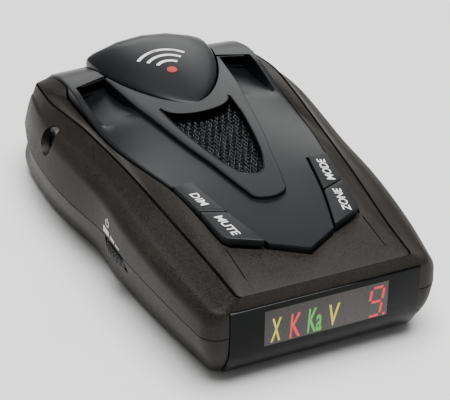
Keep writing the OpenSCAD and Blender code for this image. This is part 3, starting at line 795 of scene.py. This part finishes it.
class DETECTOR_OT_spine(PieceOperator, bpy.types.Operator):
    """Builds the raised spine and the rolled rim of the grille's opening"""

    bl_idname = "detector.spine"
    bl_label = "Spine"

    def execute(self, context):
        run = spine_run()

        def row(f, height):
            return ring([(x * f, y) for x, y in run], height)

        base = [row(f, lambda x, y: deck_z(x, y, "deck") - 1.2) for f in (0.0, 0.5, 1.0)]
        top = [row(f, spine_z) for f in (1.0, 0.85, 0.65, 0.45, 0.25, 0.0)]
        bm, loops = loft(base + top)
        soften(bm, loops[len(base)], self.edge)
        cutter = top_openings()
        satin = satin_abs()
        piece("spine", bm, satin, "housing", ["spine_panel"], cutter, sharp=16)
        rims = bmesh.new()
        edge = [(x, y, spine_z(x, y) - 0.12) for x, y in whole(grille_run(0.02))]
        add_tube(rims, edge, 0.2, 8, closed=True)
        piece("grille_rim", rims, satin, "housing")
        return {"FINISHED"}


class DETECTOR_OT_grille(PieceOperator, bpy.types.Operator):
    """Weaves the speaker grille and lays the dust felt under it"""

    bl_idname = "detector.grille"
    bl_label = "Grille"

    def execute(self, context):
        finish = context.scene.detector_finish
        gap, radius = finish.wire_gap / MM, finish.wire / MM
        slope = (top_z(GRILLE_HORN) - top_z(GRILLE_TIP)) / (GRILLE_HORN - GRILLE_TIP)
        middle_z = top_z(GRILLE_MIDDLE) - GRILLE_DEEP

        def inside(x, y):
            return -20.8 < y < 9.6 + 0.55 * abs(x) and abs(x) < curve(GRILLE_W, y) + 0.6

        bm = bmesh.new()
        for turn in (math.radians(62), math.radians(-62)):
            ahead = Vector((math.cos(turn), math.sin(turn)))
            across = Vector((-ahead.y, ahead.x))
            for row in range(-24, 25):
                path = []
                for k in range(-130, 131):
                    s = k * gap / 6
                    x, y = ahead * s + across * row * gap
                    y -= 4
                    if inside(x, y):
                        wave = math.sin(math.pi * s / gap / math.sin(2 * abs(turn)) + math.pi * row)
                        wave *= 1 if turn > 0 else -1
                        path.append((x, y, middle_z + slope * (y - GRILLE_MIDDLE) + radius * 1.1 * wave))
                    else:
                        self.add_wire(bm, path, radius)
                        path = []
        piece("grille_weave", bm, black_wire(), "housing", ["speaker_grille"], merge=False,
              sharp=60)
        pad = bmesh.new()
        low, high = add_prism(pad, whole(grille_run(0.8)), 0, 0.3)
        for v in low + high:
            v.co.z += middle_z + slope * (v.co.y - GRILLE_MIDDLE) - 0.9
        piece("dust_felt", pad, felt(), "housing")
        return {"FINISHED"}

    def add_wire(self, bm, path, radius):
        """Makes one wire by itself and adds it to the weave, which is quicker than growing it there."""
        if len(path) > 3:
            wire = bmesh.new()
            add_tube(wire, path, radius)
            made = bpy.data.meshes.new("wire")
            wire.to_mesh(made)
            wire.free()
            bm.from_mesh(made)
            bpy.data.meshes.remove(made)


class DETECTOR_OT_release_button(PieceOperator, bpy.types.Operator):
    """Builds the domed bracket release button and its printed mark"""

    bl_idname = "detector.release_button"
    bl_label = "Release Button"

    def execute(self, context):
        run = dome_run()

        def row(f):
            return ring([(x * f, mix(DOME_MIDDLE, y, f)) for x, y in run], dome_z)

        rings = [ring(run, level(25.2)), ring(run, lambda x, y: max(top_z(y) - 0.6, dome_z(x, y) - 1.0)),
                 ring([(x * 0.985, mix(DOME_MIDDLE, y, 0.985)) for x, y in run],
                      lambda x, y: dome_z(x, y) - 0.12)]
        rings += [row(f) for f in (0.955, 0.88, 0.78, 0.66, 0.53, 0.4, 0.27, 0.14, 0.0)]
        bm, loops = loft(rings)
        cap(bm, loops[0])
        soften(bm, loops[2], 0.25)
        piece("release_dome", bm, satin_abs(), "release", ["release_button"])
        self.signal_mark()
        return {"FINISHED"}

    def signal_mark(self):
        """A plain dot with three widening arcs, as on any receiver."""
        ink = printed_ink("white_ink", "#d8d8d6", "#f2f2f0")
        red = printed_ink("red_ink", "#8e1a1c", "#b0262a")
        centre = Vector((-0.2, 26.4))
        arcs = bmesh.new()
        for r in (3.8, 6.4, 9.0):
            steps = 20
            turns = [math.radians(mix(48, 132, k / steps)) for k in range(steps + 1)]
            outline = [centre + (r + 0.42) * Vector((math.cos(a), math.sin(a))) for a in turns]
            outline += [centre + (r - 0.42) * Vector((math.cos(a), math.sin(a))) for a in reversed(turns)]
            add_prism(arcs, outline, -0.1, 0.07)
        dot = bmesh.new()
        add_prism(dot, [centre + 1.25 * Vector((math.cos(a), math.sin(a))) for a in
                        [math.tau * k / 32 for k in range(32)]], -0.1, 0.07)
        for bm, name, material in ((arcs, "signal_arcs", ink), (dot, "signal_dot", red)):
            for v in bm.verts:
                v.co.z += dome_z(v.co.x, v.co.y)
            piece(name, bm, material, "release")


def lettering(text, size, shear=0.2, bold=0.012):
    """A word as a mesh in millimetres, centred on the origin, 1 unit thick."""
    data = bpy.data.curves.new("lettering", "FONT")
    data.body = text
    data.size = size
    data.shear = shear
    data.offset = bold * size
    data.extrude = 0.5
    data.align_x = "CENTER"
    data.align_y = "CENTER"
    obj = placed("lettering", data)
    bm = bmesh.new()
    bm.from_mesh(evaluated_mesh(obj))
    bpy.data.objects.remove(obj)
    bmesh.ops.remove_doubles(bm, verts=bm.verts, dist=1e-4)
    xs, ys = [v.co.x for v in bm.verts], [v.co.y for v in bm.verts]
    bmesh.ops.translate(bm, verts=bm.verts, vec=(-(min(xs) + max(xs)) / 2, -(min(ys) + max(ys)) / 2, 0))
    return bm


KEYS = (  # node, body, side, y0, y1, legend, legend's x and y
    ("dim_button", "dim_key", -1, -30.5, -17.6, "DIM", 15.3, -24.4),
    ("mute_button", "mute_key", -1, -42.7, -30.5, "MUTE", 13.5, -35.0),
    ("mode_button", "mode_key", 1, -30.5, -17.6, "MODE", 15.4, -23.9),
    ("zone_button", "zone_key", 1, -42.7, -30.5, "ZONE", 13.5, -35.2),
)


class DETECTOR_OT_keys(PieceOperator, bpy.types.Operator):
    """Builds the four keys and their legends"""

    bl_idname = "detector.keys"
    bl_label = "Keys"

    def execute(self, context):
        skin = key_abs()
        ink = printed_ink("white_key_ink", "#dededc", "#f6f6f4")
        for node, body, side, y0, y1, word, x, y in KEYS:
            bm = bmesh.new()
            plan = [(side * px, py) for px, py in key_plan(y0, y1)]
            add_prism(bm, plan, 0, 1)
            heal(bm)
            corners = [e for e in bm.edges if abs(e.verts[0].co.z - e.verts[1].co.z) > 0.5
                       and e.calc_face_angle(0) > 0.5]
            round_edges(bm, corners, 0.7, 4)
            rim = [e for e in bm.edges if all(v.co.z > 0.5 for v in e.verts) and e.calc_face_angle(0) > 0.5]
            for v in bm.verts:
                v.co.z = key_z(v.co.y) - (0 if v.co.z > 0.5 else 1.6)
            round_edges(bm, rim, 0.22, 3)
            spot = (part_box(node)[0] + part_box(node)[1]) / 2 / MM
            add_rod(bm, (spot.x, spot.y, key_z(spot.y) - 3), (0, 0, 1), 1.3, 3.6, 24)
            piece(node + "_cap", bm, skin, body, [node], merge=False)
            legend = lettering(word, 2.9)
            ahead = Vector((0.165, side, 0)).normalized()
            over = Vector((-ahead.y, ahead.x, 0))
            for v in legend.verts:
                flat = Vector((side * x, y, 0)) + ahead * v.co.x + over * v.co.y * 0.86
                v.co = (flat.x, flat.y, key_z(flat.y) + (0.03 if v.co.z > 0 else -0.1))
            piece(node + "_legend", legend, ink, body)
        return {"FINISHED"}


class DETECTOR_OT_display(PieceOperator, bpy.types.Operator):
    """Builds the smoked lens, its window and the band letters and digit behind it"""

    bl_idname = "detector.display"
    bl_label = "Display"

    def execute(self, context):
        self.lens()
        front = LENS_LO[1]
        window = bmesh.new()
        add_box(window, (-14.3, front - 0.03, 8.5), (14.3, front + 0.4, 17.1))
        edges = [e for e in window.edges if all(v.co.y < front for v in e.verts)]
        round_edges(window, edges, 0.02, 2)
        piece("display_window", window, window_film(), "housing")
        yellow = lamp_film("yellow_lamp_film", "#d8c83c", 0.35)
        red = lamp_film("red_lamp_film", "#e0303a", 0.45)
        green = lamp_film("green_lamp_film", "#58b84a", 0.35)
        for name, text, x0, x1, z0, z1, material in (
                ("band_x", "X", -12.9, -10.5, 9.1, 14.9, yellow),
                ("band_k", "K", -8.6, -6.1, 8.9, 14.9, red),
                ("band_ka", "Ka", -4.5, -1.2, 8.9, 15.0, green),
                ("band_v", "V", 0.4, 3.0, 9.3, 14.7, yellow)):
            bm = lettering(text, 5, 0.12, 0.015)
            wide = max(v.co.x for v in bm.verts)
            tall = max(v.co.y for v in bm.verts)
            for v in bm.verts:
                x = (x0 + x1) / 2 + v.co.x / wide * (x1 - x0) / 2
                z = (z0 + z1) / 2 + v.co.y / tall * (z1 - z0) / 2
                v.co = (x, front - 0.06 if v.co.z > 0 else front + 0.1, z)
            piece(name, bm, material, "housing")
        self.digit(red, front)
        return {"FINISHED"}

    def lens(self):
        """The lens's section, swept across the body, with its curved foot."""
        front, top, low = LENS_LO[1], LENS_HI[2], LENS_LO[2]
        outer = [(0.3, top), (0.08, top - 0.12), (0, top - 0.4)]
        foot = [(low, 3.6), (4.2, 1.5), (6.6, 0.4), (9, 0.0)]
        outer += [(curve(foot, z), z) for z in [mix(9, low, k / 12) for k in range(13)]]
        inner = [(1.8 + curve(foot, z), mix(z, z + 0.6, (9 - z) / 9))
                 for z in [mix(low, 9, k / 8) for k in range(1, 9)]]
        section = outer + [(5.4, low)] + inner + [(1.8, top)]
        bm = bmesh.new()
        add_prism(bm, section, -LENS_HALF, LENS_HALF)
        for v in bm.verts:
            v.co = (v.co.z, front + v.co.x, v.co.y)
        heal(bm)
        ends = [e for e in bm.edges if abs(e.verts[0].co.x - e.verts[1].co.x) < 0.01 and
                abs(abs(e.verts[0].co.x) - LENS_HALF) < 0.01]
        round_edges(bm, ends, 0.2, 2)
        piece("lens", bm, smoked_acrylic(), "housing", ["display_lens"], sharp=40)

    def digit(self, material, front):
        """The slanted seven-segment nine and its point."""
        bm = bmesh.new()
        left, right, low, high, bar = 9.6, 12.5, 9.0, 16.0, 0.62
        middle = (low + high) / 2
        flat = [(left + 0.4, right - 0.3, z) for z in (low, middle, high)]
        for x0, x1, z in flat:
            add_box(bm, (x0, -0.06, z - bar / 2), (x1, 0.1, z + bar / 2))
        for x, z0, z1 in ((left, middle, high), (right, middle, high), (right, low, middle)):
            add_box(bm, (x - bar / 2, -0.06, z0 + 0.5), (x + bar / 2, 0.1, z1 - 0.5))
        add_box(bm, (right + 0.7, -0.06, low - 0.35), (right + 1.3, 0.1, low + 0.3))
        for v in bm.verts:
            v.co = (v.co.x + 0.12 * (v.co.z - low), front + v.co.y, v.co.z)
        piece("digit_nine", bm, material, "housing")


class DETECTOR_OT_flank(PieceOperator, bpy.types.Operator):
    """Builds the thumbwheel, the jack's collar, the laser window and the flank's printed marks"""

    bl_idname = "detector.flank"
    bl_label = "Flank Details"

    def execute(self, context):
        self.wheel(context.scene.detector_finish.ridges)
        self.collar()
        self.laser()
        self.marks()
        return {"FINISHED"}

    def wheel(self, ridges):
        lo, hi = WHEEL_LO[2], WHEEL_HI[2]
        points = ridges * 8

        def round_ring(scale, z, ripple=0.0):
            places = []
            for k in range(points):
                a = math.tau * k / points
                r = (WHEEL_R - 0.38) * scale + ripple * smooth(0.5 + 0.9 * math.cos(a * ridges))
                places.append(Vector((WHEEL_AT[0] + r * math.cos(a), WHEEL_AT[1] + r * math.sin(a), z)))
            return places

        bm, loops = loft([round_ring(0.155, lo), round_ring(0.9, lo), round_ring(0.97, lo + 0.1, 0.1),
                          round_ring(1, lo + 0.4, 0.38), round_ring(1, hi - 0.4, 0.38),
                          round_ring(0.97, hi - 0.1, 0.1), round_ring(0.9, hi), round_ring(0.86, hi - 0.25),
                          round_ring(0.4, hi - 0.25), round_ring(0.36, hi), round_ring(0.155, hi)],
                         closed=True)
        piece("thumbwheel", bm, wheel_abs(), "volume", ["volume_thumbwheel"], sharp=45)

    def collar(self):
        """A rolled, black-plated collar at the mouth of the power jack."""
        bm = bmesh.new()
        section = [(0.0, 1.85), (-0.25, 1.95), (-0.3, 2.15), (-0.2, 2.35), (0.5, 2.4), (0.5, 1.85)]
        profile = first_ring(bm, [(JACK_LO[0] + x, JACK_Y, JACK_Z + r) for x, r in section])
        bmesh.ops.spin(bm, geom=profile + loop_edges(bm, profile), cent=(JACK_LO[0], JACK_Y, JACK_Z),
                       axis=(1, 0, 0), angle=math.tau, steps=48, use_merge=True)
        plate = metal("black_nickel_plate", "#0e0f10", "#191a1b", 0.3, 0.003, 0.4)
        piece("jack_collar", bm, plate, "housing")

    def laser(self):
        bm = bmesh.new()
        lo, hi = Vector(LASER_LO), Vector(LASER_HI)
        add_box(bm, lo, (hi.x, lo.y + 2, hi.z))
        for v in bm.verts:
            v.co.y = (hi.y if v.co.y > lo.y + 1 else hi.y - 2) - 1.15 * (v.co.z - lo.z) / (hi.z - lo.z)
        round_edges(bm, bm.edges[:], 0.2, 3)
        piece("laser_filter", bm, red_acrylic(), "housing", ["laser_window"])

    def marks(self):
        """The power sign and the tapering volume bars on the wall above the thumbwheel."""
        bm = bmesh.new()
        for a, b, z in FLANK_BARS:
            low_end = mix(FLANK_BASE, z, 0.72)
            add_prism(bm, [(a, FLANK_BASE), (b, FLANK_BASE), (b, low_end), (a, z)], -0.1, 0.04)
        for k in range(26):
            t0, t1 = (math.radians(mix(-235, 55, (k + d) / 26)) for d in (0, 1.02))
            arc = [(10.2 + r * math.cos(t), 16.3 + r * math.sin(t)) for r, t in
                   ((1.0, t0), (1.0, t1), (0.68, t1), (0.68, t0))]
            add_prism(bm, arc, -0.1, 0.04)
        add_prism(bm, [(10.04, 16.4), (10.36, 16.4), (10.36, 17.5), (10.04, 17.5)], -0.1, 0.04)
        for v in bm.verts:
            u, z, proud = v.co
            y = -u
            t = clamp01((z - UPPER_LO[2]) / (curve(BROW_Z, y) - UPPER_LO[2]))
            v.co = (-mix(curve(WAIST_W, y), curve(BROW_W, y), t) - proud, y, z)
        ink = printed_ink("white_flank_ink", "#c4c4c2", "#e6e6e4")
        piece("flank_marks", bm, ink, "housing")


class DETECTOR_OT_inner_parts(PieceOperator, bpy.types.Operator):
    """Gives the parts inside the shells and under the body their finishes"""

    bl_idname = "detector.inner_parts"
    bl_label = "Inner Parts"

    def execute(self, context):
        board = solder_mask()
        nylon = plastic("black_nylon", "#17181a", "#232527", 0.55)
        tin = metal("tin_plate", "#8b8e8f", "#b6b9ba", 1.2, 0.01, 0.3)
        zinc = metal("black_zinc", "#3c3d3f", "#57595b", 0.4, 0.008, 0.34)
        finishes = {
            "release_latch": nylon, "tact_switches": nylon, "control_chip": nylon, "power_jack": nylon,
            "volume_pot": plastic("phenolic_pot", "#4a3b2c", "#5f4c39", 0.5),
            "release_spring": metal("spring_wire", "#96989a", "#bcbec0", 0.5, 0.004, 0.25),
            "display_module": plastic("indicator_mask", "#3c3937", "#4b4744", 0.5),
            "display_board": board, "main_board": board,
            "laser_sensor": plastic("sensor_epoxy", "#3b343c", "#4d4450", 0.2),
            "horn_antenna": metal("cast_aluminium", "#7d8083", "#a3a6a8", 0.8, 0.05, 0.42),
            "rf_shield": tin, "speaker_basket": tin,
            "speaker_cone": surface("pressed_paper", "#161616", "#242424", 3, 0.4, 0.05, 0.85, 0.05,
                                    **{"IOR": 1.4}),
            "speaker_magnet": surface("ground_ferrite", "#2c2d2e", "#3d3e3f", 3, 0.5, 0.02, 0.6, 0.08),
            "speaker_gasket": surface("closed_cell_foam", "#0d0d0d", "#191919", 2, 0.5, 0.08, 0.9, 0.05),
            "housing_screws": zinc, "board_screws": zinc,
        }
        for node, material in finishes.items():
            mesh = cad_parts[node].data
            mesh.materials.clear()
            mesh.materials.append(material)
        self.label()
        return {"FINISHED"}

    def label(self):
        """The blank rating plate in its recess, with ruled lines."""
        lo, hi = Vector(LABEL_LO), Vector(LABEL_HI)
        bm = bmesh.new()
        add_box(bm, lo, hi)
        corners = [e for e in bm.edges if abs(e.verts[0].co.z - e.verts[1].co.z) > 0.1]
        round_edges(bm, corners, 1.5, 5)
        film = surface("silver_label_film", "#a9acae", "#c3c6c8", 10, 0.6, 0.004, 0.35, 0.05,
                       **{"Metallic": 0.4})
        piece("rating_plate", bm, film, "housing", ["label_plate"])
        rules = bmesh.new()
        for y in [lo.y + 3 + 3 * k for k in range(11)]:
            add_box(rules, (lo.x + 3, y - 0.12, lo.z - 0.03), (hi.x - 3, y + 0.12, lo.z + 0.1))
        piece("rating_plate_rules", rules, printed_ink("black_label_ink", "#101112", "#1c1d1e"), "housing")


class DETECTOR_OT_stage(PieceOperator, bpy.types.Operator):
    """Builds the pale floor, the soft lights and the camera"""

    bl_idname = "detector.stage"
    bl_label = "Stage"

    def execute(self, context):
        scene = context.scene
        bm = bmesh.new()
        bmesh.ops.create_grid(bm, x_segments=8, y_segments=8, size=1.5)
        floor = mesh_object("studio_floor", bm)
        floor.data.materials.append(surface("painted_floor", "#f2f2f1", "#f8f8f7", 300, 20, 0.02, 0.7, 0.05))
        world = bpy.data.worlds.new("light_tent")
        world.use_nodes = True
        background = world.node_tree.nodes["Background"]
        background.inputs["Color"].default_value = (1, 1, 1, 1)
        background.inputs["Strength"].default_value = 0.25
        scene.world = world
        for name, place, size, energy, aim in (
                ("road_softbox", (0.28, 0.65, 0.34), 0.4, 1.3, (0, 0, 0.02)),
                ("top_softbox", (0.05, -0.05, 0.9), 0.7, 17.0, (0, 0, 0.02))):
            data = bpy.data.lights.new(name, "AREA")
            data.size = size
            data.energy = energy
            light = placed(name, data)
            light.location = place
            light.rotation_mode = "QUATERNION"
            light.rotation_quaternion = (Vector(aim) - Vector(place)).to_track_quat("-Z", "Y")
        self.camera(scene)
        return {"FINISHED"}

    def camera(self, scene):
        """A long lens, above and to the left of the display end."""
        turn, rise, roll = math.radians(-24.74), math.radians(31.53), math.radians(0.7)
        back = Vector((math.sin(turn) * math.cos(rise), -math.cos(turn) * math.cos(rise), math.sin(rise)))
        right = Vector((math.cos(turn), math.sin(turn), 0))
        up = back.cross(right)
        side = math.cos(roll) * right + math.sin(roll) * up
        over = -math.sin(roll) * right + math.cos(roll) * up
        data = bpy.data.cameras.new("studio_camera")
        data.sensor_width = 36
        data.lens = 131.0
        data.clip_start, data.clip_end = 0.01, 20
        camera = placed("studio_camera", data)
        pose = Matrix((side, over, back)).transposed().to_4x4()
        camera.matrix_world = Matrix.Translation((-0.1351, -0.2976, 0.2095)) @ pose
        scene.camera = camera


OPERATORS = (DETECTOR_OT_upper_shell, DETECTOR_OT_lower_shell, DETECTOR_OT_deck, DETECTOR_OT_spine,
             DETECTOR_OT_grille, DETECTOR_OT_release_button, DETECTOR_OT_keys, DETECTOR_OT_display,
             DETECTOR_OT_flank, DETECTOR_OT_inner_parts, DETECTOR_OT_stage)


class DETECTOR_PT_panel(bpy.types.Panel):
    """Lists the detector's pieces and finishes in the sidebar."""

    bl_idname = "DETECTOR_PT_panel"
    bl_label = "Radar Detector"
    bl_space_type = "VIEW_3D"
    bl_region_type = "UI"
    bl_category = "Detector"

    def draw(self, context):
        for operator in OPERATORS:
            self.layout.operator(operator.bl_idname)
        for name in DetectorFinish.__annotations__:
            self.layout.prop(context.scene.detector_finish, name)


CLASSES = (DetectorFinish, *OPERATORS, DETECTOR_PT_panel)


def register():
    for c in CLASSES:
        bpy.utils.register_class(c)
    bpy.types.Scene.detector_finish = PointerProperty(type=DetectorFinish)


def unregister():
    del bpy.types.Scene.detector_finish
    for c in reversed(CLASSES):
        bpy.utils.unregister_class(c)


def main():
    register()
    for operator in OPERATORS:
        group, name = operator.bl_idname.split(".")
        getattr(getattr(bpy.ops, group), name)()


if __name__ == "__main__":
    main()
